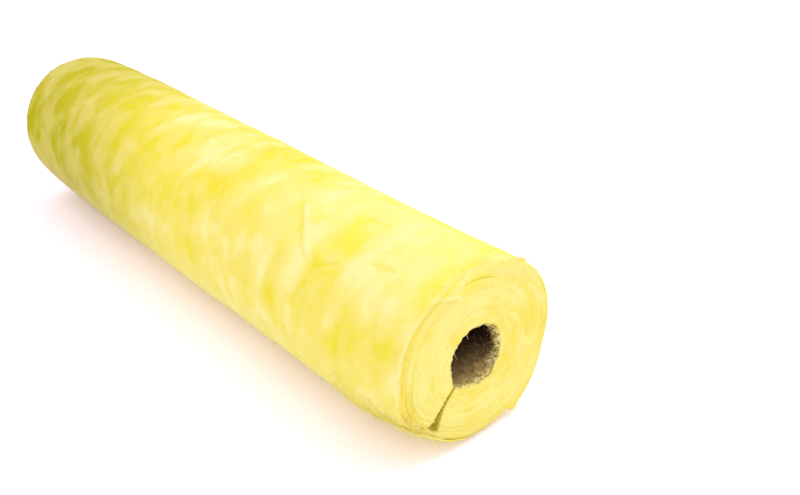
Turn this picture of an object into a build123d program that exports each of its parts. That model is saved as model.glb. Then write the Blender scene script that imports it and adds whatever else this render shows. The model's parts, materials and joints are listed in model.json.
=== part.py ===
"""Wound glass wool tube for lagging a pipe, lying on its side. Millimetres, +Z up.

The axis runs along X, and the origin is on the floor, under the middle of the roll.
Angles round the axis are measured in the YZ plane, from +Y towards +Z.
"""

import os

from build123d import *

# Overall form
length = 1000.0
bore_diameter = 80.0
wall = 80.0
rim_radius = 12.0
mouth_radius = 3.0

# The slit that opens the roll, a straight cut through the whole wall that passes beside the axis
slit_direction = 235.0
slit_off_axis = 10.5
slit_gap_bore = 2.5
slit_gap_outside = 5.0

# The turns of the web, which show on both ends as one spiral crease
turn_thickness = 8.0
crease_width = 1.0
crease_depth = 2.0
crease_margin = 0.4

# Worked out from the sizes above
bore_radius = bore_diameter / 2
outer_radius = bore_radius + wall
overrun = 2.0
axis_point = (0, 0, outer_radius)
cross_section = Plane(origin=axis_point, x_dir=(0, 1, 0), z_dir=(1, 0, 0)).rotated((slit_direction, 0, 0))
slit_origin = cross_section.from_local_coords((0, -slit_off_axis, 0))
slit_section = Plane(origin=slit_origin, x_dir=cross_section.x_dir, z_dir=cross_section.z_dir)


def crease_half_turn(count):
    """Outline of the crease over one half turn, which starts at half turn number count.

    Its arcs are centred a quarter turn's thickness off the axis, to either side in turn,
    so each half turn runs on from the one before.
    """
    side = 1 if count % 2 == 0 else -1
    centre = (-side * turn_thickness / 4, 0)
    radius = bore_radius + (count + 0.5) * turn_thickness / 2
    start = 0 if side == 1 else 180
    inner = CenterArc(centre, radius - crease_width / 2, start, 180)
    outer = CenterArc(centre, radius + crease_width / 2, start, 180)
    Line(inner @ 0, outer @ 0)
    Line(inner @ 1, outer @ 1)


# Half turns whose crease lies on the flat of the end, clear of both rounded edges
crease_clearance = crease_width / 2 + crease_margin
half_turns = [
    count
    for count in range(int(2 * wall / turn_thickness) + 1)
    if count * turn_thickness / 2 > mouth_radius + crease_clearance
    and (count + 1) * turn_thickness / 2 < wall - rim_radius - crease_clearance
]

with BuildPart() as wool_roll:
    # The wound wall, turned about the axis of the bore
    with BuildSketch(Plane.XZ):
        with Locations((0, outer_radius + bore_radius + wall / 2)):
            Rectangle(length, wall)
        corners = vertices().group_by(Axis.Y)
        fillet(corners[-1], rim_radius)
        fillet(corners[0], mouth_radius)
    revolve(axis=Axis(axis_point, (1, 0, 0)))

    # The slit, from inside the bore out through the outer face, widening outwards
    with BuildSketch(slit_section):
        with BuildLine():
            Polyline(
                (0, -slit_gap_bore / 2),
                (bore_radius, -slit_gap_bore / 2),
                (outer_radius, -slit_gap_outside / 2),
                (outer_radius + overrun, -slit_gap_outside / 2),
                (outer_radius + overrun, slit_gap_outside / 2),
                (outer_radius, slit_gap_outside / 2),
                (bore_radius, slit_gap_bore / 2),
                (0, slit_gap_bore / 2),
                close=True,
            )
        make_face()
    extrude(amount=length / 2, both=True, mode=Mode.SUBTRACT)

    # The spiral crease between the turns, on each end
    for end in (1, -1):
        with BuildSketch(cross_section.offset(end * length / 2)):
            for half_turn in half_turns:
                with BuildLine():
                    crease_half_turn(half_turn)
                make_face()
        extrude(amount=-end * crease_depth, mode=Mode.SUBTRACT)

wool_roll.part.label = "wool_roll"
os.makedirs("parts", exist_ok=True)
export_step(wool_roll.part, "parts/wool_roll.step")
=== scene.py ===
import json
import math

import bmesh
import bpy
import numpy as np
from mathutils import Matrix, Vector


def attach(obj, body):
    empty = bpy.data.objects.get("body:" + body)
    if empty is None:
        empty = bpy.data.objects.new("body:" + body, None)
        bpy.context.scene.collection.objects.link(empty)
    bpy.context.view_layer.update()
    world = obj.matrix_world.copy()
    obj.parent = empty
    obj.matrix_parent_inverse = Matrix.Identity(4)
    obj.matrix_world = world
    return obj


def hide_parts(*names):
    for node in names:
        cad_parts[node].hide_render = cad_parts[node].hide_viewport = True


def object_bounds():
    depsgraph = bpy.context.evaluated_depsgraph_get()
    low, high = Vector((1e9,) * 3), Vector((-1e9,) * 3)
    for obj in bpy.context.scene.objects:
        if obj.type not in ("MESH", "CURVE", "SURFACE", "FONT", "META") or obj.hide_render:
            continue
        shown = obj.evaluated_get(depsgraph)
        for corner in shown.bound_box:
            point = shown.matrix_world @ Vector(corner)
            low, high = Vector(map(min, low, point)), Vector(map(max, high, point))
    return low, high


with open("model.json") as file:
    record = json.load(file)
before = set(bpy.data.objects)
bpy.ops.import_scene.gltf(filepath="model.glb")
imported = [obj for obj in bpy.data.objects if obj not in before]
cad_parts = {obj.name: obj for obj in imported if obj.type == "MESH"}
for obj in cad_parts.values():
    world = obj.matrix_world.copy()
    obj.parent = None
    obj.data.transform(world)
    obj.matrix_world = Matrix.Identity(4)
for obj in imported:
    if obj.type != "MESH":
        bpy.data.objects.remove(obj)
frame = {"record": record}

# Sizes read from the frame, in metres
cad_low, cad_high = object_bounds()
BORE_MOUNT = next(m for m in frame["record"]["mounts"] if m["name"] == "pipe_bore")
LENGTH = cad_high.x - cad_low.x
OUTER = (cad_high.z - cad_low.z) / 2
BORE = BORE_MOUNT["dims"]["r_mm"] / 1000
AXIS_Z = BORE_MOUNT["pos_m"][2]
WALL = OUTER - BORE
MM = 0.001
HALF = LENGTH / 2

# The slit is a straight cut beside the axis. Angles round the axis go from +Y towards +Z
SLIT_DIRECTION = math.radians(235)
SLIT_OFF_AXIS = 10.5 * MM
SLIT_GAP_BORE = 2.5 * MM
SLIT_GAP_OUTSIDE = 5 * MM
TURN = 8 * MM
LAYERS_PER_TURN = 2

# Samples of the mesh: round the roll, through the wall at each end, along the outside and along the bore
AROUND = 340
THROUGH_NEAR = 82
THROUGH_FAR = 26
ALONG_OUTSIDE = 156
ALONG_BORE = 25

# How many of the bore's samples, from the near end on, the faces of the slit share
SLIT_ROWS = 6

# Samples at which the spacing of the others is added up
SPACING_SAMPLES = 4001

# Radius of the rounded mouth of the bore, and how deep and how far back the near end is worn
MOUTH_ROUND = 4 * MM
WORN_IN = 16 * MM
WORN_BACK = 0.8 * OUTER

# The height below which the floor presses the outside flat, and the lowest height of fibres and torn layers
PRESSED = 3 * MM
CLEAR_OF_FLOOR = 0.3 * MM

# How deep the root of a fibre lies in the wool, and how many straight parts it has
ROOT_DEPTH = 0.35 * MM
FIBRE_STEPS = 3

# Samples of a torn layer, round the roll and along it
BRIDGE_ROWS = 40
BRIDGE_COLUMNS = 22

# Seeds of the noise on the near end and on the far one
NEAR_SEED = 50
FAR_SEED = 70

# Numbers that mix the corners of the noise lattice and the seed into bits without a pattern
MASK = np.uint64(0xFFFFFFFF)
CELL_FACTORS = (73856093, 19349663, 83492791)
SEED_FACTOR = 40503
MIX_FACTORS = (2246822519, 3266489917)

random = np.random.default_rng(7)


def smooth(value):
    """An even step from 0 to 1 while value goes from 0 to 1."""
    value = np.clip(value, 0, 1)
    return value * value * (3 - 2 * value)


def bump(value, centre, reach):
    """A round hump of height 1 at centre that dies out at the distance reach."""
    return smooth(1 - np.abs(value - centre) / reach)


def ridge(value, width):
    """A soft-sided hump of this width, with height 1 where value is 0."""
    return np.exp(-((value / width) ** 2))


def between(value, start, rise, end, fall):
    """1 from start to end and 0 beyond, with an even rise after start and an even fall before end."""
    return smooth((value - start) / rise) * smooth((end - value) / fall)


def round_from(degrees, centre):
    """How far round the roll an angle lies from centre, from -180 to 180 degrees."""
    return (degrees - centre + 180) % 360 - 180


def bump_round(degrees, centre, reach):
    """A bump round the roll that may pass 0 degrees."""
    return bump(round_from(degrees, centre), 0, reach)


def hashed(cell, seed):
    """A number from -1 to 1 for each corner of the noise lattice."""
    mixed = seed * SEED_FACTOR
    for axis, factor in enumerate(CELL_FACTORS):
        mixed = mixed ^ cell[:, axis] * factor
    mixed = mixed.astype(np.uint64) & MASK
    for factor in MIX_FACTORS:
        mixed = (mixed ^ (mixed >> np.uint64(15))) * np.uint64(factor) & MASK
    return (mixed ^ (mixed >> np.uint64(16))) / float(MASK) * 2 - 1


def noise(points, seed):
    """Smooth noise from -1 to 1 at points of shape (n, 3)."""
    cell = np.floor(points).astype(np.int64)
    part = points - cell
    fade = part * part * (3 - 2 * part)
    total = np.zeros(len(points))
    for corner in np.ndindex(2, 2, 2):
        weight = np.prod(np.where(corner, fade, 1 - fade), axis=1)
        total += weight * hashed(cell + np.array(corner), seed)
    return total


def layered(points, seed, octaves):
    """Noise with finer noise on it, each octave half as wide and half as strong."""
    total = np.zeros(len(points))
    for octave in range(octaves):
        total += noise(points * 2**octave, seed + octave) / 2**octave
    return total


def winding(x, angle, along, around, radius=OUTER):
    """Noise points on the wound wall, for features of a size along the axis and one round it."""
    return np.stack(
        [x / along, radius * np.cos(angle) / around, radius * np.sin(angle) / around], axis=-1
    )


def on_end(seed, radius, angle, size):
    """Noise points on an end of the roll, for features of one size."""
    seed = np.broadcast_to(seed, radius.shape)
    return np.stack([seed, radius * np.cos(angle) / size, radius * np.sin(angle) / size], axis=-1)


# Shape of the roll


def slit_angle(radius):
    """Where the middle of the slit is at a radius."""
    return SLIT_DIRECTION - np.arcsin(SLIT_OFF_AXIS / radius)


def worn_outline(angle, x):
    """How far the outside has worn in at the near end, low on the side of the slit."""
    share = between(np.degrees(angle) % 360, 187, 42, 296, 60)
    return WORN_IN * share * smooth(1 - (HALF - x) / WORN_BACK)


def swollen_outline(angle, x):
    """How far the near end swells out, on its right and on its left, and in a flap low on its right."""
    degrees = np.degrees(angle) % 360
    to_end = (HALF - x) / OUTER
    right = np.maximum(bump_round(degrees, 10, 62), 0.9 * bump(degrees, 332, 26))
    left = bump(degrees, 144, 36)
    flap = between(degrees, 299, 5, 338, 30)

    # Each has a height, a course round the roll and a reach along it, in outer radii
    parts = [(6.2 * MM, right, 0.9), (5.5 * MM, left, 0.6), (14.5 * MM, flap, 0.4)]
    return sum(height * course * smooth(1 - to_end / reach) for height, course, reach in parts)


# Free edges of the web: their course as angles in degrees and x, their height and how far it fades
LAPS = [
    ((106, 117, 124, 131, 136, 141), (0.232, 0.259, 0.276, 0.291, 0.303, 0.322), 3.4 * MM, 32 * MM),
    ((60, 95, 150), (0.050, 0.085, 0.110), 1.2 * MM, 50 * MM),
    ((70, 120, 190), (-0.220, -0.170, -0.150), 1.2 * MM, 60 * MM),
    ((20, 80, 120), (-0.380, -0.340, -0.330), 1.2 * MM, 50 * MM),
    ((290, 330, 358), (0.140, 0.190, 0.205), 1.8 * MM, 50 * MM),
    ((265, 310, 350), (-0.110, -0.060, -0.040), 1.6 * MM, 50 * MM),
]

# Short creases, each from one (x, angle in degrees) to another, with its depth and width
CREASES = [
    ((0.326, 138), (0.325, 151), 1.8 * MM, 4.0 * MM),
    ((0.325, 151), (0.312, 165), 1.2 * MM, 5.0 * MM),
    ((0.330, 139.5), (0.357, 131.5), 1.6 * MM, 2.2 * MM),
    ((0.399, 122.5), (0.431, 120.5), 1.3 * MM, 2.2 * MM),
    ((0.340, 100), (0.372, 96), 1.0 * MM, 2.2 * MM),
    ((0.118, 40), (0.146, 62), 1.2 * MM, 2.2 * MM),
    ((0.330, 20), (0.372, 8), 1.4 * MM, 2.2 * MM),
    ((0.462, 70), (0.492, 62), 1.2 * MM, 2.2 * MM),
]

# Patches that are paler (above 0) or deeper (below 0): x, angle in degrees, reach along and round, tone
MARKS = [
    (0.399, 170, 10 * MM, 34 * MM, -1.2),
    (0.402, 150, 8 * MM, 22 * MM, -0.4),
    (0.474, 160, 9 * MM, 50 * MM, -0.6),
    # Painted shade among the frayed layers low on the near end
    (0.470, 212, 22 * MM, 26 * MM, -1.0),
    (0.367, 146, 12 * MM, 18 * MM, 0.5),
    (0.415, 86, 13 * MM, 12 * MM, -0.5),
    (0.498, 91, 5 * MM, 13 * MM, -1.2),
    (0.495, 116, 7 * MM, 8 * MM, -0.8),
    (0.300, 128, 16 * MM, 60 * MM, 0.7),
    (0.400, 132, 26 * MM, 26 * MM, 0.5),
    (0.455, 124, 14 * MM, 40 * MM, 0.5),
    (0.230, 138, 24 * MM, 40 * MM, 0.4),
    (0.262, 150, 8 * MM, 30 * MM, -0.5),
    (0.345, 122, 24 * MM, 24 * MM, -0.4),
    (0.185, 150, 22 * MM, 22 * MM, 0.8),
    (0.262, 181, 14 * MM, 14 * MM, 0.6),
    (0.342, 197, 20 * MM, 14 * MM, 0.5),
    (0.050, 140, 60 * MM, 30 * MM, -0.7),
    (-0.060, 158, 50 * MM, 26 * MM, -0.5),
    (-0.160, 128, 60 * MM, 45 * MM, -0.8),
    (-0.130, 190, 120 * MM, 30 * MM, -0.4),
    (-0.225, 172, 24 * MM, 24 * MM, -0.8),
    (-0.290, 112, 50 * MM, 34 * MM, -0.6),
    (-0.302, 178, 24 * MM, 24 * MM, 0.8),
    (-0.375, 195, 26 * MM, 30 * MM, 0.9),
    (-0.380, 90, 30 * MM, 24 * MM, -0.6),
    (-0.440, 186, 30 * MM, 24 * MM, 0.7),
    (-0.465, 145, 20 * MM, 34 * MM, -1.2),
    (-0.475, 105, 22 * MM, 45 * MM, 0.7),
]


def from_segment(points, start, end):
    """How far points of a plane lie from a segment in it."""
    run = np.subtract(end, start)
    share = np.clip((points - start) @ run / (run @ run), 0, 1)
    return np.linalg.norm(points - start - share[:, None] * run, axis=1)


def off_segment(x, angle, start, end):
    """How far a point of the outside is from a segment of it."""
    off_angle = round_from(np.degrees(angle), start[1])
    points = np.stack([x - start[0], np.radians(off_angle) * OUTER], axis=-1)
    run = (end[0] - start[0], np.radians(end[1] - start[1]) * OUTER)
    return from_segment(points, (0, 0), run)


def features(x, angle):
    """Height of the laps and creases on the outside, and the tone that these and the marks give it, with
    painted highlight and shade at the laps and painted shade in the creases.
    """
    height = np.zeros_like(x)
    tone = np.zeros_like(x)
    degrees = np.degrees(angle) % 360
    for angles, places, rise, fade in LAPS:
        past = x - np.interp(degrees, angles, places)
        shown = between(degrees, angles[0], 10, angles[-1], 6)
        step = smooth(past / (6 * MM)) * np.exp(-np.clip(past, 0, None) / fade)
        dip = ridge(past + 3 * MM, 4.5 * MM)
        pale = bump(past, 8 * MM, 14 * MM)
        height = height + shown * rise * (step - 0.35 * dip)
        # Painted highlight on the near side of the lap and painted shade along its foot
        tone = tone + shown * rise / (3 * MM) * (0.9 * pale - 0.7 * dip)
    for start, end, drop, width in CREASES:
        cut = ridge(off_segment(x, angle, start, end), width)
        height = height - drop * cut
        # Painted shade along the crease
        tone = tone - 0.8 * cut
    for place_x, centre, along, around, strength in MARKS:
        off_round = np.radians(round_from(degrees, centre)) * OUTER
        tone = tone + strength * ridge(x - place_x, along) * ridge(off_round, around)
    return height, tone


def outside_relief(x, angle):
    """Height of the soft, uneven outer face above the plain cylinder."""
    soft = 1.6 * MM * layered(winding(x, angle, along=100 * MM, around=90 * MM), seed=11, octaves=2)
    bands = 0.6 * MM * layered(winding(x, angle, along=18 * MM, around=80 * MM), seed=23, octaves=2)
    grain = 0.35 * MM * noise(winding(x, angle, along=7 * MM, around=18 * MM), seed=37)
    return soft + bands + grain + features(x, angle)[0] - 0.4 * MM


def rim_radius(angle, near):
    """Radius of the rounded outer edge: crisp at the near end but for its top, and softer at the far end."""
    degrees = np.degrees(angle) % 360
    uneven = 1.2 * noise(winding(np.zeros_like(angle), angle, along=1, around=50 * MM), seed=41)
    near_rim = 4 + uneven + 22 * bump(degrees, 95, 34) + 4 * bump(degrees, 206, 26)
    far_rim = 14 + 3 * uneven + 12 * bump(degrees, 214, 60) - 5 * bump(degrees, 125, 50)
    return np.where(near, near_rim, far_rim) * MM


# The torn edge of the outer wrap on the near end, which runs in from its rim: two points in (y, z)
TORN_EDGE = ((-67 * MM, 99.5 * MM), (-27 * MM, 88.5 * MM))


def near_features(radius, angle):
    """How far the forms that only the near end has stand out, and their tone, with painted highlight and
    shade.

    These are the crack under its top, a part that stands out high on its right, and the lip and the torn
    edge of the outer wrap on its left.
    """
    degrees = np.degrees(angle) % 360
    crack_radius = 96.6 * MM + 0.11 * MM * (degrees - 73)
    crack = ridge(radius - crack_radius, 0.9 * MM) * bump(degrees, 87, 22)
    corner = bump(degrees, 54, 34) * smooth((radius - 88 * MM) / (30 * MM))
    around_lip = between(degrees, 116, 13, 212, 30)
    lip = smooth((radius - 0.945 * OUTER) / (2.5 * MM)) * around_lip
    recess = bump(radius, 0.915 * OUTER, 8 * MM) * around_lip
    on_face = np.stack([radius * np.cos(angle), radius * np.sin(angle)], axis=-1)
    torn = ridge(from_segment(on_face, *TORN_EDGE), 2.2 * MM)
    height = (4.5 * lip - 3.0 * recess - 3.5 * crack + 4 * corner + 1.5 * torn) * MM
    edge = smooth((radius - 0.93 * OUTER) / (4 * MM)) * bump_round(degrees, 0, 60)
    pale = bump(degrees, 95, 60) * bump(radius, 65 * MM, 35 * MM)
    # Painted highlight on the lip, painted shade in the recess inside it and in the crack; paler along the
    # torn edge and high on the face, deeper at the right rim
    tone = 0.8 * lip - recess - 0.7 * crack - 0.5 * edge + 0.5 * pale + 1.6 * torn
    return height, tone


def turn_creases(radius, angle, seed):
    """How deep a point of an end lies in the spiral crease between turns, and between their finer layers."""
    wander = 0.13 * layered(on_end(seed, radius, angle, 35 * MM), seed + 5, octaves=2)
    turns = (radius - BORE) / TURN - (angle - SLIT_DIRECTION) / math.tau + wander
    turn = turns.round()
    shown = smooth(0.35 + 0.9 * noise(on_end(seed + turn, radius, angle, 45 * MM), seed + 7))
    crease = ridge(turns - turn, 0.13) * shown
    layers = turns * LAYERS_PER_TURN
    layer = layers.round()
    shown = smooth(0.5 + 0.9 * noise(on_end(seed + layer, radius, angle, 20 * MM), seed + 9))
    return crease, ridge(layers - layer, 0.22) * shown


def mouth_pull(degrees):
    """How far the mouth of the bore is pulled out at the near end, low on its right, or in elsewhere."""
    # The pull low on the right starts sharply, at the foot of the mouth
    from_foot = (degrees + 90) % 360
    low_right = 4 * bump(from_foot, 40, 75)
    beside_slit = -3.5 * bump(degrees, 215, 48) - 4.5 * bump(degrees, 264, 46)
    upper_left = -4.4 * between(degrees, 45, 45, 218, 42)
    return (low_right + beside_slit + upper_left) * MM


def loosened(radius, angle):
    """Where the outer layers of the near end have come a little loose, low on the side of the slit."""
    return bump(np.degrees(angle) % 360, 204, 44) * smooth((radius - 84 * MM) / (18 * MM))


def end_relief(radius, angle, near):
    """How far the end stands out, with the creases between the wound turns and their finer layers."""
    seed = NEAR_SEED if near else FAR_SEED
    swell = 1.2 * MM * layered(on_end(seed, radius, angle, 50 * MM), seed, octaves=2)
    crease, fine = turn_creases(radius, angle, seed)
    flat = smooth((OUTER - radius) / rim_radius(angle, near))
    deeper = 1 + 2.0 * loosened(radius, angle) * near
    height = swell - (0.5 * MM * crease + 0.35 * MM * fine) * flat * deeper
    return height + near_features(radius, angle)[0] if near else height


def rounded(across, along, size):
    """Moves a point of a square edge onto one rounded by size. Both distances are from the edge."""
    u = np.clip(1 - across / size, 0, None)
    v = np.clip(1 - along / size, 0, None)
    inside = (u > 0) & (v > 0)
    tiny = 1e-9
    share = np.where(inside, np.maximum(u, v) / np.maximum(np.hypot(u, v), tiny), 1)
    return (
        np.where(inside, size * (1 - u * share), across),
        np.where(inside, size * (1 - v * share), along),
    )


# Half the width that the tear adds to the slit at the near end, at depths of the wall
TORN_DEPTHS = (0, 0.28, 0.41, 0.50, 0.66, 0.82, 0.86)
TORN_GAPS = (1.6 * MM, 1.7 * MM, 1.6 * MM, 3.6 * MM, 4.6 * MM, 9.0 * MM, 2.0 * MM)

# How many jagged steps the tear has on its way through the wall
TEAR_STEPS = 24


def slit_half_gap(side, depth, x, to_end):
    """How far one side of the slit is from its middle, torn in steps and open at its foot at the near end."""
    gap = (SLIT_GAP_BORE + (SLIT_GAP_OUTSIDE - SLIT_GAP_BORE) * depth) / 2
    gap = gap * (1 + 0.2 * noise(winding(x, side, along=30 * MM, around=30 * MM), seed=97))
    torn = np.exp(-to_end / (20 * MM)) * (x > 0)

    # Each step has a place of its own in the noise, on each side
    step = np.stack([np.floor(depth * TEAR_STEPS) * 0.77, side * 3.3, np.zeros_like(x)], axis=-1)
    jagged = 1.6 * MM * noise(step + 0.3, seed=99) * smooth(depth * 3)
    opened = np.interp(depth, TORN_DEPTHS, TORN_GAPS)
    hook = 2.4 * MM * ridge(depth, 0.14)
    return gap + torn * (opened + jagged + side * hook)


def place(sweep, depth, run):
    """Takes points of the wall to their places on the roll.

    sweep goes from 0 to 1 round from the slit and back to it, depth from 0 at the bore to 1 at the
    outside, and run from -1 at the far end to 1 at the near one.
    """
    plain_x = run * HALF
    near = run > 0
    nominal = BORE + depth * WALL
    angle = slit_angle(nominal) + math.tau * sweep
    degrees = np.degrees(angle) % 360
    to_end = HALF - np.abs(plain_x)

    # The outer edge and the mouth of the bore are rounded
    across, along = rounded(OUTER - nominal, to_end, rim_radius(angle, near))
    radius = OUTER - across
    across, along = rounded(radius - BORE, along, np.full_like(radius, MOUTH_ROUND))
    radius = BORE + across
    x = np.where(near, 1, -1) * (HALF - along)

    # The ends
    ends = np.where(near, end_relief(nominal, angle, True), -end_relief(nominal, angle, False))
    x = x + ends * np.exp(-to_end / (18 * MM))

    # The outside, and the bore, which is ragged, most at its mouth
    outer_share = depth**6
    radius = radius + outer_share * outside_relief(plain_x, angle)
    radius = radius - depth**2 * (worn_outline(angle, plain_x) - swollen_outline(angle, plain_x))
    ragged_mouth = (1.4 + 1.4 * bump_round(degrees, 330, 120)) * np.exp(-to_end / (16 * MM))
    ragged = (0.8 + ragged_mouth) * MM
    rough = layered(winding(plain_x, angle, 9 * MM, 8 * MM, radius=BORE), seed=91, octaves=3)
    pulled = mouth_pull(degrees) * near * np.exp(-to_end / (8 * MM))
    radius = radius + (1 - depth) ** 14 * (ragged * rough + pulled)

    # The slit, whose outer edges are a little rounded and raised
    off_slit = np.minimum(sweep, 1 - sweep) * math.tau * radius
    radius = radius - 2.0 * MM * np.exp(-off_slit / (2.5 * MM)) * outer_share
    radius = radius + 1.0 * MM * bump(off_slit, 10 * MM, 8 * MM) * outer_share
    side = np.where(sweep < 0.5, 1.0, -1.0)
    slide = side * slit_half_gap(side, depth, plain_x, to_end) * np.exp(-off_slit / (16 * MM))
    angle = angle + slide / radius

    # The foot, which the floor presses flat
    z = AXIS_Z + radius * np.sin(angle)
    z = np.where(z < PRESSED, PRESSED * np.exp(np.minimum(z / PRESSED - 1, 0)), z)
    return np.stack([x, radius * np.cos(angle), z], axis=-1)


# Mesh of the roll


def spread_out(count, values, density):
    """Samples of the values, closer together where the density is higher."""
    total = np.concatenate([[0], np.cumsum(density[1:])])
    return np.interp(np.linspace(0, total[-1], count + 1), total, values)


def graded(count, fine, coarse, reach, fade):
    """Samples from -1 to 1 along the roll, fine at both ends, and at the near one as far as reach."""
    x = np.linspace(-1, 1, SPACING_SAMPLES)
    near = smooth(1 - ((1 - x) * HALF - reach) / fade)
    far = 0.8 * np.exp(-(1 + x) * HALF / (30 * MM))
    spacing = coarse - (coarse - fine) * np.maximum(near, far)
    return spread_out(count, x, 1 / spacing)


def close_to_slit(count):
    """Samples from 0 to 1 round the roll, finer beside the slit."""
    sweep = np.linspace(0, 1, SPACING_SAMPLES)
    to_slit = np.minimum(sweep, 1 - sweep) * math.tau * OUTER
    return spread_out(count, sweep, 1 + 1.8 * np.exp(-to_slit / (10 * MM)))


class WallMesh:
    """Collects patches of the wall in its own coordinates: sweep, depth and run."""

    def __init__(self):
        self.points = []
        self.quads = []
        self.polygons = []
        self.count = 0

    def add(self, sweep, depth, run):
        """Adds points and gives back the number of the first one."""
        first = self.count
        block = np.stack(np.broadcast_arrays(sweep, depth, run), axis=-1).reshape(-1, 3).astype(float)
        self.points.append(block)
        self.count += len(block)
        return first

    def patch(self, rows, columns, make):
        """A grid of quads. make takes row and column values and gives (sweep, depth, run)."""
        row, column = np.meshgrid(rows, columns, indexing="ij")
        first = self.add(*make(row, column))
        width = len(columns)
        i, j = np.meshgrid(np.arange(len(rows) - 1), np.arange(width - 1), indexing="ij")
        corner = (first + i * width + j).ravel()
        self.quads.append(np.stack([corner, corner + 1, corner + width + 1, corner + width], axis=-1))

    def polygon(self, sweep, outline):
        """One face across the wall, inside an outline of (depth, run) points."""
        depth, run = np.array(outline).T
        first = self.add(sweep, depth, run)
        self.polygons.append(np.arange(first, first + len(depth)))

    def welded(self):
        """The points in wall coordinates, their places, and the faces, with shared points joined."""
        points = np.concatenate(self.points)

        # Points that agree to a ten-millionth of each coordinate are one
        parts = 1e7
        keys = np.round(points * parts).astype(np.int64)
        first, joined = np.unique(keys, axis=0, return_index=True, return_inverse=True)[1:]
        joined = joined.ravel()
        faces = joined[np.concatenate(self.quads)].tolist()
        faces += [joined[polygon].tolist() for polygon in self.polygons]
        points = points[first]
        return points, place(*points.T), faces


def wall_mesh():
    """The whole wall, closed: its outside, bore, both ends and both faces of the slit."""
    mesh = WallMesh()
    sweeps = close_to_slit(AROUND)
    near = np.linspace(0, 1, THROUGH_NEAR + 1)
    far = np.linspace(0, 1, THROUGH_FAR + 1)
    outside = graded(ALONG_OUTSIDE, fine=3.2 * MM, coarse=10 * MM, reach=240 * MM, fade=90 * MM)
    bore = graded(ALONG_BORE, fine=3 * MM, coarse=120 * MM, reach=30 * MM, fade=90 * MM)
    mesh.patch(sweeps, outside, lambda sweep, run: (sweep, 1, run))
    mesh.patch(sweeps, bore, lambda sweep, run: (sweep, 0, run))
    mesh.patch(sweeps, near, lambda sweep, depth: (sweep, depth, 1))
    mesh.patch(sweeps, far, lambda sweep, depth: (sweep, depth, -1))

    # Each face of the slit is a grid close to the near end, a strip beside that and one face for the rest
    shown = bore[-SLIT_ROWS:]
    edge = outside[::-1]
    count = int(np.sum(edge >= shown[0]))
    for side in (0.0, 1.0):
        mesh.patch(near[:-1], shown, lambda depth, run: (side, depth, run))
        mesh.polygon(side, [(near[-2], run) for run in shown] + [(1.0, run) for run in edge[:count]])
        rest = [(depth, shown[0]) for depth in near[:-1]]
        rest += [(1.0, run) for run in edge[count - 1 :]]
        rest += [(depth, -1.0) for depth in far[-2::-1]]
        rest += [(0.0, run) for run in bore[1:] if run < shown[0]]
        mesh.polygon(side, rest)
    return mesh.welded()


def make_object(name, spots, faces):
    """A smooth-shaded mesh object in the scene."""
    mesh = bpy.data.meshes.new(name)
    mesh.from_pydata(spots.tolist(), [], faces)
    mesh.shade_smooth()
    piece = bpy.data.objects.new(name, mesh)
    bpy.context.scene.collection.objects.link(piece)
    return piece


def tidy_faces(piece):
    """Splits the many-sided faces into triangles and turns all faces outwards."""
    mesh = bmesh.new()
    mesh.from_mesh(piece.data)
    bmesh.ops.triangulate(mesh, faces=[face for face in mesh.faces if len(face.verts) > 4])
    bmesh.ops.recalc_face_normals(mesh, faces=mesh.faces)
    mesh.to_mesh(piece.data)
    mesh.free()


def store(piece, name, values):
    """Keeps one number, or one vector, for each point of the piece."""
    values = np.asarray(values, dtype=float)
    kind, slot = ("FLOAT", "value") if values.ndim == 1 else ("FLOAT_VECTOR", "vector")
    piece.data.attributes.new(name, kind, "POINT").data.foreach_set(slot, values.ravel())


# Torn layers and fibres


def surface(sweep, depth, run):
    """Places on the wall, with the directions round the roll, across that and out of the wall."""
    # Steps in the wall's own coordinates, to both sides of each place
    step = 0.002
    step_through = 5 * step
    before = np.maximum(sweep - step, 0)
    after = np.minimum(sweep + step, 1)
    around = place(after, depth, run) - place(before, depth, run)
    at_end = np.abs(run) == 1
    deeper = (sweep, np.maximum(depth - step_through * at_end, 0), run - step * ~at_end)
    further = (sweep, np.minimum(depth + step_through * at_end, 1), np.where(at_end, run, run + step))
    across = place(*further) - place(*deeper)
    outwards = np.cross(around, across) * np.where(run == 1, -1, 1)[:, None]
    directions = [around, across, outwards]
    return [place(sweep, depth, run)] + [d / np.linalg.norm(d, axis=1)[:, None] for d in directions]


def fibres(sweep, depth, run, length, lift, width, lean, spread, either_way=True):
    """Ribbons as thin as fibres, rooted on the wall.

    lean is their direction from round the roll towards across, in radians, and spread how far it varies.
    Gives their points, of shape (count, FIBRE_STEPS + 1, 2, 3).
    """
    count = len(sweep)
    root, around, across, out = surface(sweep, depth, run)
    turn = (lean + spread * random.normal(size=count))[:, None]
    turn = turn + math.pi * random.integers(0, 2, count)[:, None] * either_way
    along = around * np.cos(turn) + across * np.sin(turn)
    side = np.cross(out, along)
    curl = random.normal(0, 0.22, count)[:, None]

    # On the outside the roll curves away under a fibre, which drops with it
    drop = np.where(np.abs(run) == 1, 0, np.cos(turn[:, 0]) ** 2 / (2 * OUTER))
    twist = random.normal(0, 0.5, count)[:, None]
    flat = side * np.cos(twist) + out * np.sin(twist)
    rows = []
    for t in np.linspace(0, 1, FIBRE_STEPS + 1):
        reach = (length * t)[:, None]
        arch = 1.6 * t * (1 - t) + 0.8 * t * t
        height = (lift * arch - ROOT_DEPTH - drop * (length * t) ** 2)[:, None]
        middle = root + along * reach + side * curl * reach * t + out * height
        half = flat * (width * (1 - 0.65 * t) / 2)[:, None]
        rows.append(np.stack([middle - half, middle + half], axis=1))
    return np.stack(rows, axis=1)


def scattered(count, low, high, power=1.0):
    """Random values from low to high, with more of them near low where power is over 1."""
    return low + (high - low) * random.random(count) ** power


def at_angle(degrees, depth):
    """The sweep at which an angle lies, at a depth of the wall."""
    return (np.radians(degrees) - slit_angle(BORE + depth * WALL)) / math.tau % 1


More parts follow.
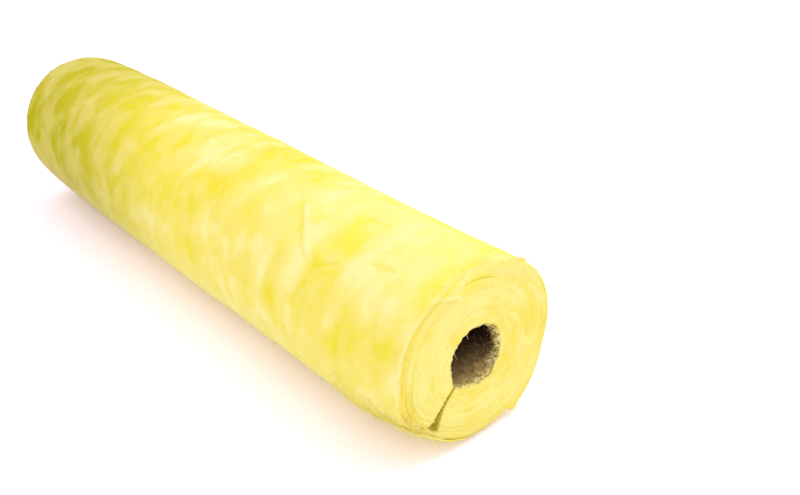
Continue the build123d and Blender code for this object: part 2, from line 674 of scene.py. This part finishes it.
def side_fuzz(count):
    """Fibres that lie on the outside, mostly round the roll."""
    length = scattered(count, 6 * MM, 20 * MM)
    lift = scattered(count, 0.2 * MM, 2.6 * MM, power=3)
    width = scattered(count, 0.20 * MM, 0.38 * MM)
    run = scattered(count, -0.995, 0.997)
    return fibres(random.random(count), np.ones(count), run, length, lift, width, lean=0.0, spread=0.55)


def end_fuzz(count, run):
    """Fibres that lie on an end, along its turns."""
    depth = np.sqrt(scattered(count, 0.02, 0.97))
    length = scattered(count, 3 * MM, 12 * MM)
    lift = scattered(count, 0.2 * MM, 1.2 * MM, power=2)
    width = scattered(count, 0.20 * MM, 0.38 * MM)
    ends = np.full(count, float(run))
    return fibres(random.random(count), depth, ends, length, lift, width, lean=0.0, spread=0.35)


def rim_fringe(count, run):
    """Short fibres that stick out of an outer edge."""
    length = scattered(count, 3 * MM, 9 * MM)
    lift = scattered(count, 0.5 * MM, 4 * MM, power=2)
    width = scattered(count, 0.30 * MM, 0.55 * MM)
    runs = np.where(random.random(count) < 0.5, run, run * scattered(count, 0.97, 0.999))
    depth = np.where(np.abs(runs) == 1, scattered(count, 0.93, 1.0), 1.0)
    return fibres(random.random(count), depth, runs, length, lift, width, lean=0.5, spread=0.8)


def mouth_strands(count, run):
    """Strands that hang from the mouth of the bore, most on its right."""
    degrees = random.normal(-20, 80, count)
    length = scattered(count, 3 * MM, 10 * MM)
    lift = scattered(count, 0.3 * MM, 4.5 * MM, power=1.5)
    width = scattered(count, 0.5 * MM, 1.2 * MM)
    runs = run * scattered(count, 0.962, 0.999)
    return fibres(at_angle(degrees, 0), np.zeros(count), runs, length, lift, width, lean=0.3, spread=0.8)


def worn_fringe(count):
    """Loose fibres where the near end has worn, low on the side of the slit."""
    degrees = random.normal(211, 10, count)
    length = scattered(count, 5 * MM, 18 * MM)
    lift = scattered(count, 0.5 * MM, 6 * MM, power=1.5)
    width = scattered(count, 0.3 * MM, 0.6 * MM)
    runs = 1 - scattered(count, 0.0, 0.25, power=1.6)
    runs = np.where(random.random(count) < 0.22, 1.0, runs)
    depth = np.where(runs == 1, scattered(count, 0.82, 1.0), 1.0)
    return fibres(at_angle(degrees, depth), depth, runs, length, lift, width, lean=0.35, spread=0.7)


def edge_strands(count):
    """Wide strands that lie along the worn edge."""
    degrees = scattered(count, 198, 244)
    length = scattered(count, 8 * MM, 18 * MM)
    lift = scattered(count, 0.8 * MM, 3.4 * MM)
    width = scattered(count, 0.8 * MM, 1.5 * MM)
    runs = 1 - scattered(count, 0.001, 0.14, power=1.3)
    return fibres(at_angle(degrees, 1), np.ones(count), runs, length, lift, width, lean=0.15, spread=0.55)


def tuft(count, degrees, run, length, lean):
    """A tuft of fibres that sticks out at one spot of the near edge."""
    around = at_angle(random.normal(degrees, 1.6, count), np.ones(count))
    runs = np.minimum(random.normal(run, 0.004, count), 0.999)
    reach = scattered(count, 0.5 * length, length)
    lift = scattered(count, 0.35 * length, 0.9 * length)
    width = scattered(count, 0.4 * MM, 0.8 * MM)
    return fibres(around, np.ones(count), runs, reach, lift, width, lean, spread=0.35, either_way=False)


def ribbon_object(name, groups, material):
    """One mesh of the given groups, each as (points of its ribbons, shade low, shade high, bore)."""
    spots, faces, shades, bores = [], [], [], []
    total = 0
    for points, low, high, bore in groups:
        count, rows = points.shape[:2]
        first = total + np.arange(count)[:, None] * rows * 2 + np.arange(rows - 1)[None] * 2
        first = first.ravel()
        faces.append(np.stack([first, first + 1, first + 3, first + 2], axis=-1))
        spots.append(points.reshape(-1, 3))
        shades.append(np.repeat(scattered(count, low, high), rows * 2))
        bores.append(np.repeat(scattered(count, 0, 1) < bore, rows * 2).astype(float))
        total += count * rows * 2
    spots = np.concatenate(spots)
    spots[:, 2] = np.maximum(spots[:, 2], CLEAR_OF_FLOOR)
    piece = make_object(name, spots, np.concatenate(faces).tolist())
    store(piece, "shade", np.concatenate(shades))
    store(piece, "bore", np.concatenate(bores))
    store(piece, "far", far_dull_and_shade(spots[:, 0], np.arctan2(spots[:, 2] - AXIS_Z, spots[:, 1])))
    piece.data.materials.append(material)
    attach(piece, "root")


# Layers of the web that bridge the slit where the near end has worn: angles in degrees from one side to the
# other, how far back they reach, how far the near edge stands out, depth below the worn outside, thickness
BRIDGES = [
    (216, 243, 60 * MM, 1.0 * MM, 1.2 * MM, 2.2 * MM),
    (218, 241, 40 * MM, -0.5 * MM, 3.9 * MM, 2.1 * MM),
    (219, 240, 26 * MM, 0.6 * MM, 6.4 * MM, 1.9 * MM),
    (204, 230, 26 * MM, -2.5 * MM, -0.4 * MM, 1.4 * MM),
    (238, 266, 30 * MM, 1.6 * MM, -0.6 * MM, 1.1 * MM),
]


def as_points(x, y, z):
    """One row of three numbers for each point of a grid."""
    return np.stack([x, y, z], axis=-1).reshape(-1, 3)


def grid_noise(first, second, seed, variant):
    """Noise over a grid of two values, other for each seed and variant."""
    return noise(as_points(first, second, 0 * first + seed), seed + variant).reshape(first.shape)


def bridge_mesh(start, end, back, stand_out, below, thickness, seed):
    """One torn layer over the worn outside, closed, with ragged edges.

    t goes from 0 to 1 across the slit, and s from 0 at the back of the layer to 1 at its near edge.
    """
    shares = (np.linspace(0, 1, BRIDGE_ROWS), np.linspace(0, 1, BRIDGE_COLUMNS))
    t, s = np.meshgrid(*shares, indexing="ij")
    sides = grid_noise(s * 7, 0 * s, seed, 3)
    angle = np.radians(start + (end - start) * t + 1.6 * sides * (2 * t - 1))
    ragged = grid_noise(t * 14, 0 * t, seed, 0) * (0.7 * MM * s + 8 * MM * (1 - s))
    x = HALF + stand_out - back * (1 - s) + ragged
    inside = np.minimum(x, HALF)
    relief = outside_relief(inside.ravel(), angle.ravel()).reshape(t.shape)
    outside = OUTER - worn_outline(angle, inside) + relief
    middle = outside - below + 0.5 * MM * grid_noise(t * 9, s * 3, seed, 5)

    # It thins out at its back and its sides
    edge = np.minimum(np.minimum(t, 1 - t) * 9, 1) * np.minimum(s * 6, 1)
    half = thickness / 2 * (0.15 + 0.85 * edge)
    layers = [middle + half, middle - half]
    spots = [as_points(x, r * np.cos(angle), AXIS_Z + r * np.sin(angle)) for r in layers]
    grain = [as_points(x, angle * OUTER, r) for r in layers]

    # The faces on top, those below and those of the edge all round
    index = np.arange(t.size).reshape(t.shape)
    top = np.stack([index[:-1, :-1], index[1:, :-1], index[1:, 1:], index[:-1, 1:]], -1).reshape(-1, 4)
    loop = np.concatenate([index[0, :-1], index[:-1, -1], index[-1, :0:-1], index[:0:-1, 0]])
    following = np.roll(loop, -1)
    under = t.size
    rim = np.stack([loop, following, following + under, loop + under], -1)
    faces = np.concatenate([top, top[:, ::-1] + under, rim])
    return np.concatenate(spots), np.concatenate(grain), faces


def build_bridges(material):
    """The torn layers that bridge the slit at the near end."""
    spots, grain, faces = [], [], []
    total = 0
    for number, bridge in enumerate(BRIDGES):
        layer_spots, layer_grain, layer_faces = bridge_mesh(*bridge, seed=200 + number * 10)
        spots.append(layer_spots)
        grain.append(layer_grain)
        faces.append(layer_faces + total)
        total += len(layer_spots)
    spots = np.concatenate(spots)
    spots[:, 2] = np.maximum(spots[:, 2], CLEAR_OF_FLOOR)
    piece = make_object("torn_layers", spots, np.concatenate(faces).tolist())
    tidy_faces(piece)
    store(piece, "grain", np.concatenate(grain))
    store(piece, "end", np.full(total, 0.7))
    piece.data.materials.append(material)
    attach(piece, "root")


# Materials


class Nodes:
    """Adds shader nodes to a material or a world and joins them."""

    def __init__(self, owner):
        owner.use_nodes = True
        self.tree = owner.node_tree
        self.tree.nodes.clear()

    def feed(self, socket, value):
        """Gives a socket a value, or joins it to another node's output."""
        if isinstance(value, bpy.types.NodeSocket):
            self.tree.links.new(value, socket)
        else:
            socket.default_value = value

    def add(self, kind, inputs=(), **settings):
        """A node with its settings and its inputs, each given as (socket, value)."""
        node = self.tree.nodes.new("ShaderNode" + kind)
        for name, value in settings.items():
            setattr(node, name, value)
        for socket, value in inputs:
            self.feed(node.inputs[socket], value)
        return node

    def math(self, operation, *values):
        """The result of one operation on these values."""
        return self.add("Math", list(enumerate(values)), operation=operation).outputs[0]

    def attribute(self, name, output="Fac"):
        """What the mesh keeps under a name for each of its points."""
        return self.add("Attribute", attribute_name=name).outputs[output]

    def noise(self, vector, sizes, detail, roughness, distortion=0.0):
        """Noise from 0 to 1 with features of these sizes, in metres, along each coordinate."""
        scale = [1 / size for size in sizes]
        placed = self.add("Mapping", [("Vector", vector), ("Scale", scale)]).outputs[0]
        inputs = [("Vector", placed), ("Scale", 1.0), ("Detail", detail), ("Roughness", roughness)]
        return self.add("TexNoise", inputs + [("Distortion", distortion)]).outputs[0]

    def ramp(self, value, low, high):
        """Takes the range from low to high to the range from 0 to 1, smoothly."""
        inputs = [("Value", value), ("From Min", low), ("From Max", high)]
        return self.add("MapRange", inputs, interpolation_type="SMOOTHSTEP").outputs[0]

    def blend(self, factor, first, second):
        """A colour from the first at factor 0 to the second at factor 1."""
        inputs = [(0, factor), (6, first), (7, second)]
        return self.add("Mix", inputs, data_type="RGBA").outputs[2]


def linear(red, green, blue):
    """A colour given as it looks on screen, from 0 to 255."""
    values = [value / 255 for value in (red, green, blue)]
    return [v / 12.92 if v < 0.04045 else ((v + 0.055) / 1.055) ** 2.4 for v in values] + [1.0]


LEMON = linear(249, 232, 120)
CREAM = linear(254, 244, 168)
DEEP = linear(243, 226, 62)
# Colours of the near top: limier, and paler than the others as a painted highlight
LIME = linear(250, 238, 98)
PRIMROSE = linear(252, 239, 142)
MILK = linear(252, 242, 164)
# Olive colours of the far end, which carry painted shade as well as its tint
OLIVE = linear(188, 180, 24)
PALE_OLIVE = linear(213, 200, 98)
# Painted light on the low flank towards the far end
PAINTED_LIGHT_DULL = linear(220, 204, 150)
STRAW = linear(250, 231, 110)
BUFF = linear(252, 242, 152)
# Painted shade in the creases between the turns on the ends
CREASE_SHADE = linear(232, 209, 44)
# Deeper olive yellow of the slit's faces: the cut wool's colour, darkened as painted shade inside the narrow
# slit
CUT_AND_SHADE = linear(214, 197, 36)
# Painted shade in the gaps between the frayed strands
GAP_SHADE = linear(186, 164, 40)
# The frayed strands' pale colour, whitened as painted light
FRAY_PALE_AND_LIT = linear(255, 251, 208)
RIND = linear(243, 224, 164)
# Painted shade between the pale wisps of the bore's rind
RIND_SHADE = linear(136, 108, 52)
TAN = linear(206, 171, 118)
# Painted shade deep in the bore
BORE_SHADE = linear(54, 37, 32)

# Sizes of patches, streaks and strands in metres: along the roll, round it and through its wall
BLOTCHES = (0.075, 0.090, 0.030)
CLOUDS = (0.032, 0.048, 0.010)
STREAKS = (0.012, 0.040, 0.0035)
FINE_GRAIN = (0.004, 0.010, 0.0016)
FRAYS = (0.0035, 0.012, 0.0018)
STRANDS = (0.006, 0.012, 0.002)
WISPS = (0.007, 0.020, 0.004)


def wool_material():
    """Glass wool: lemon yellow with pale wisps, deeper patches and streaks that run round the roll."""
    material = bpy.data.materials.new("glass_wool")
    nodes = Nodes(material)
    grain = nodes.attribute("grain", "Vector")
    top = nodes.attribute("top")
    low = nodes.attribute("low")

    # The mottling, on which the laps, creases and marks of the surface show by their tone
    blotches = nodes.noise(grain, BLOTCHES, detail=1, roughness=0.5, distortion=0.3)
    clouds = nodes.noise(grain, CLOUDS, detail=1, roughness=0.5, distortion=0.5)
    streaks = nodes.noise(grain, STREAKS, detail=2, roughness=0.5, distortion=0.2)
    fine = nodes.noise(grain, FINE_GRAIN, detail=3, roughness=0.7)
    off_middle = nodes.math("SUBTRACT", fine, 0.5)
    mottle = nodes.math("MULTIPLY_ADD", blotches, 0.44, nodes.math("MULTIPLY", clouds, 0.44))
    for part, weight in ((streaks, 0.12), (off_middle, 0.09), (nodes.attribute("tone"), 0.16)):
        mottle = nodes.math("MULTIPLY_ADD", part, weight, mottle)

    # The side, limier on its near top and paler there as a painted highlight from above, and paler low on its
    # flank as painted light
    deep = nodes.blend(top, DEEP, LIME)
    middle = nodes.blend(top, LEMON, PRIMROSE)
    bright = nodes.blend(top, CREAM, MILK)
    side = nodes.blend(nodes.ramp(mottle, 0.31, 0.51), deep, middle)
    side = nodes.blend(nodes.ramp(mottle, 0.48, 0.67), side, bright)
    # Painted light low on the flank
    side = nodes.blend(low, side, CREAM)

    # The ends, with painted shade in the creases between their turns
    end = nodes.blend(nodes.ramp(mottle, 0.36, 0.62), STRAW, BUFF)
    end = nodes.blend(nodes.math("MULTIPLY", nodes.attribute("crease"), 0.26), end, CREASE_SHADE)
    colour = nodes.blend(nodes.attribute("end"), side, end)

    # The duller colour towards the far end, an olive tint with painted shade, and the faces of the slit,
    # deeper with painted shade inside it
    dull = nodes.blend(nodes.ramp(mottle, 0.38, 0.60), OLIVE, PALE_OLIVE)
    # Painted light low on the flank, towards the far end too
    dull = nodes.blend(low, dull, PAINTED_LIGHT_DULL)
    colour = nodes.blend(nodes.attribute("far"), colour, dull)
    # Painted shade on the faces of the slit
    colour = nodes.blend(nodes.attribute("cut"), colour, CUT_AND_SHADE)

    # The frayed corner, with pale strands, whitened as painted light, and painted shade in the gaps between
    # them
    fray = nodes.noise(grain, FRAYS, detail=2, roughness=0.5, distortion=0.6)
    frayed = nodes.attribute("frayed")
    shaded_gaps = nodes.math("MULTIPLY", nodes.ramp(fray, 0.54, 0.66), frayed)
    pale = nodes.math("MULTIPLY", nodes.ramp(fray, 0.54, 0.44), frayed)
    colour = nodes.blend(pale, nodes.blend(shaded_gaps, colour, GAP_SHADE), FRAY_PALE_AND_LIT)

    # The bore, dark brown as painted shade, with tan strands that show most on its bed, lit by painted light
    # near the mouth, and the rind at its mouth, pale wisps with painted shade between them
    strands = nodes.noise(grain, STRANDS, detail=4, roughness=0.7, distortion=0.8)
    lit = nodes.math("MULTIPLY_ADD", nodes.attribute("lit_bed"), 0.72, nodes.math("MULTIPLY", strands, 0.55))
    inside = nodes.blend(nodes.ramp(lit, 0.30, 0.88), BORE_SHADE, TAN)
    wisps = nodes.noise(grain, WISPS, detail=2, roughness=0.5, distortion=1.0)
    # Pale wisps of the rind with painted shade between them
    rind = nodes.blend(nodes.ramp(wisps, 0.40, 0.56), RIND_SHADE, RIND)
    colour = nodes.blend(nodes.attribute("rind"), colour, rind)
    colour = nodes.blend(nodes.attribute("bore"), colour, inside)

    relief = [("Height", fine), ("Distance", 0.8 * MM), ("Strength", 0.35)]
    normal = nodes.add("Bump", relief).outputs[0]
    inputs = [("Base Color", colour), ("Roughness", 1.0), ("Specular IOR Level", 0.0), ("Normal", normal)]
    shader = nodes.add("BsdfPrincipled", inputs).outputs[0]
    nodes.add("OutputMaterial", [("Surface", shader)])
    return material


def fibre_material():
    """Single fibres and tufts, from deep yellow to nearly white, olive with painted shade towards the far
    end, and tan where they hang in the bore.
    """
    material = bpy.data.materials.new("glass_fibre")
    nodes = Nodes(material)
    colour = nodes.blend(nodes.attribute("shade"), DEEP, CREAM)
    # Olive towards the far end, partly painted shade
    colour = nodes.blend(nodes.math("MULTIPLY", nodes.attribute("far"), 0.8), colour, OLIVE)
    colour = nodes.blend(nodes.attribute("bore"), colour, TAN)
    faced = nodes.add("BsdfDiffuse", [("Color", colour)]).outputs[0]
    through = nodes.add("BsdfTranslucent", [("Color", colour)]).outputs[0]
    shader = nodes.add("MixShader", [(0, 0.3), (1, faced), (2, through)]).outputs[0]
    nodes.add("OutputMaterial", [("Surface", shader)])
    return material


# The floor's colour in the light that it throws on the roll, and its colour to the camera
FLOOR_LIGHT = (0.92, 0.92, 0.92, 1)
FLOOR_SHOWN = (1.34, 1.20, 1.43, 1)


def floor_material():
    """A plain pale floor, shown to the camera near white and a little warm in the roll's shade."""
    material = bpy.data.materials.new("floor")
    nodes = Nodes(material)
    plain = nodes.add("BsdfDiffuse", [("Color", FLOOR_LIGHT)]).outputs[0]
    shown = nodes.add("BsdfDiffuse", [("Color", FLOOR_SHOWN)]).outputs[0]
    seen = nodes.add("LightPath").outputs["Is Camera Ray"]
    shader = nodes.add("MixShader", [(0, seen), (1, plain), (2, shown)]).outputs[0]
    nodes.add("OutputMaterial", [("Surface", shader)])
    return material


# Pieces of the object


def far_dull_and_shade(x, angle):
    """How much of the far end's duller colour shows, an olive tint with painted shade, most low on the side
    of the slit.
    """
    low_side = bump(np.degrees(angle) % 360, 185, 80)
    start = (140 * low_side - 50) * MM
    return smooth((start - x) / (440 * MM)) * (0.84 + 0.16 * low_side)


def store_looks(piece, sweep, depth, run):
    """Keeps what the wool's material reads for each point of the wall."""
    nominal = BORE + depth * WALL
    angle = slit_angle(nominal) + math.tau * sweep
    degrees = np.degrees(angle) % 360
    x = run * HALF
    to_end = HALF - np.abs(x)
    on_near_end = run == 1

    # The ends, but for the top of the near one, which has the colour of the side
    edge = rim_radius(angle, run > 0)
    on_an_end = np.where(np.abs(run) == 1, smooth((1 - depth) * WALL / (1.3 * edge)), 0)
    side_coloured = bump(degrees, 80, 80) * smooth((nominal - 72 * MM) / (28 * MM)) * on_near_end
    on_an_end = on_an_end * (1 - 0.9 * side_coloured)
    store(piece, "grain", np.stack([x, angle * OUTER, nominal], axis=-1))
    store(piece, "far", far_dull_and_shade(x, angle) * (1 - 0.6 * on_an_end))
    store(piece, "end", on_an_end)

    # The tone of the forms and marks, the limier near top, paler there as a painted highlight, and the low
    # flank, paler as painted light
    tone = features(x, angle)[1] * smooth((depth - 0.9) / 0.1)
    tone = np.where(on_near_end, near_features(nominal, angle)[1], tone)
    store(piece, "tone", tone)
    store(piece, "top", bump(degrees, 90, 80) * smooth((x - 50 * MM) / (300 * MM)))
    store(piece, "low", 0.68 * bump(degrees, 222, 54) * (1 - on_an_end))

    # How much painted shade the creases of the ends get, more where the near one's outer layers are loose
    crease, fine = turn_creases(nominal, angle, NEAR_SEED)
    deeper = 1 + 1.2 * loosened(nominal, angle) * on_near_end
    store(piece, "crease", np.clip(crease + 0.7 * fine, 0, 1) * on_an_end * deeper)

    # The faces of the slit, deeper in colour as painted shade inside it, and the frayed corner of the near
    # end, with painted light on its strands and painted shade between them
    at_slit = ((sweep == 0) | (sweep == 1)) & (depth > 0)
    store(piece, "cut", at_slit * smooth(to_end / (1.5 * MM)))
    outer_turns = np.where(on_near_end, smooth((depth - 0.76) / 0.16), depth == 1)
    reach = smooth(1 - (to_end - 12 * MM) / (46 * MM)) * (run > 0)
    store(piece, "frayed", bump(degrees, 217, 36) * outer_turns * reach)

    # The bore, in painted shade, which starts behind a ragged rind, the painted light on its bed, and that
    # rind
    ragged = 4 * MM * layered(winding(0 * x, angle, 1, 8 * MM, radius=BORE), seed=131, octaves=2)
    rind_reach = (6 + 9 * bump_round(degrees, 35, 65) + 9 * bump(degrees, 262, 30)) * MM + ragged
    store(piece, "bore", (depth == 0) * smooth((to_end - rind_reach) / (5 * MM)))
    store(piece, "lit_bed", bump(degrees, 275, 110) * np.exp(-to_end / (60 * MM)))
    away = bump_round(degrees, 345, 150)
    store(piece, "rind", smooth(1 - depth * WALL / (4.5 * MM)) * (0.35 + 0.65 * away))


def build_wall(material):
    """The roll itself."""
    points, spots, faces = wall_mesh()
    piece = make_object("wool_wall", spots, faces)
    tidy_faces(piece)
    store_looks(piece, *points.T)
    piece.data.materials.append(material)
    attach(piece, "root")
    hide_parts("wool_roll")


# Floor, light and camera


def make_floor():
    """A level floor under the roll."""
    reach = 6.0
    spots = np.array([(-reach, -reach, 0), (reach, -reach, 0), (reach, reach, 0), (-reach, reach, 0)])
    floor = make_object("floor", spots, [(0, 1, 2, 3)])
    floor.data.materials.append(floor_material())


def make_light(name, spot, target, size, power, colour=(1, 1, 1)):
    """A square soft box that faces the target."""
    light = bpy.data.lights.new(name, "AREA")
    light.size = size
    light.energy = power
    light.color = colour
    lamp = bpy.data.objects.new(name, light)
    lamp.location = spot
    lamp.rotation_euler = (Vector(target) - Vector(spot)).to_track_quat("-Z", "Y").to_euler()
    bpy.context.scene.collection.objects.link(lamp)


def make_world(strength, colour):
    """Even light from all round, shown white to the camera."""
    world = bpy.data.worlds.new("studio")
    nodes = Nodes(world)
    light = nodes.add("Background", [("Color", (*colour, 1)), ("Strength", strength)]).outputs[0]
    white = nodes.add("Background", [("Color", (1, 1, 1, 1)), ("Strength", 1.0)]).outputs[0]
    seen = nodes.add("LightPath").outputs["Is Camera Ray"]
    shader = nodes.add("MixShader", [(0, seen), (1, light), (2, white)]).outputs[0]
    nodes.add("OutputWorld", [("Surface", shader)])
    bpy.context.scene.world = world


# The photograph's camera: the width of its picture and its focal length in pixels, its place in outer radii
# from the floor under the middle of the near end, and the direction in which it looks
PICTURE_WIDTH = 800
FOCAL_LENGTH = 906
CAMERA_PLACE = (4.768, -5.071, 5.89)
CAMERA_DIRECTION = (-0.664, 0.578, -0.4745)
SENSOR_WIDTH_MM = 36


def make_camera():
    """The photograph's view."""
    camera = bpy.data.cameras.new("camera")
    camera.sensor_width = SENSOR_WIDTH_MM
    camera.lens = SENSOR_WIDTH_MM * FOCAL_LENGTH / PICTURE_WIDTH
    camera.dof.use_dof = False
    view = bpy.data.objects.new("camera", camera)
    x, y, z = CAMERA_PLACE
    view.location = (HALF + x * OUTER, y * OUTER, z * OUTER)
    view.rotation_euler = Vector(CAMERA_DIRECTION).to_track_quat("-Z", "Y").to_euler()
    bpy.context.scene.collection.objects.link(view)
    bpy.context.scene.camera = view


wool = wool_material()
fibre = fibre_material()
build_wall(wool)
build_bridges(wool)

# Groups of fibres, each with its lowest and highest shade and the share of it that is tan
side_groups = [(side_fuzz(14000), 0.3, 0.85, 0)]
ribbon_object("side_fibres", side_groups, fibre)
near_groups = [
    (end_fuzz(6000, 1), 0.5, 1, 0),
    (rim_fringe(1200, 1), 0.6, 1, 0),
    (mouth_strands(420, 1), 0.5, 1, 0.35),
    (worn_fringe(1500), 0.35, 1, 0),
    (tuft(60, 303, 0.994, 7 * MM, 0.2), 0.6, 1, 0),
    (tuft(50, 54, 0.988, 6 * MM, 1.2), 0.7, 1, 0),
    # Deep-yellow strands laid between the pale ones as painted shade
    (edge_strands(90), 0.0, 0.1, 0),
    (edge_strands(200), 0.9, 1, 0),
]
ribbon_object("near_end_fibres", near_groups, fibre)
far_groups = [
    (end_fuzz(5000, -1), 0.3, 1, 0),
    (rim_fringe(1400, -1), 0.4, 1, 0),
    (mouth_strands(500, -1), 0.1, 1, 0.45),
]
ribbon_object("far_end_fibres", far_groups, fibre)
make_floor()
make_world(strength=1.0, colour=(1.0, 0.985, 0.97))
make_light("key", (0.9, 1.1, 2.2), (0.1, 0, 0.1), size=1.6, power=12)
make_light("fill", (0.0, -2.4, 0.3), (0, 0, 0.08), size=1.2, power=2.1, colour=(1, 0.97, 0.94))
make_camera()
bpy.context.scene.view_settings.view_transform = "Standard"
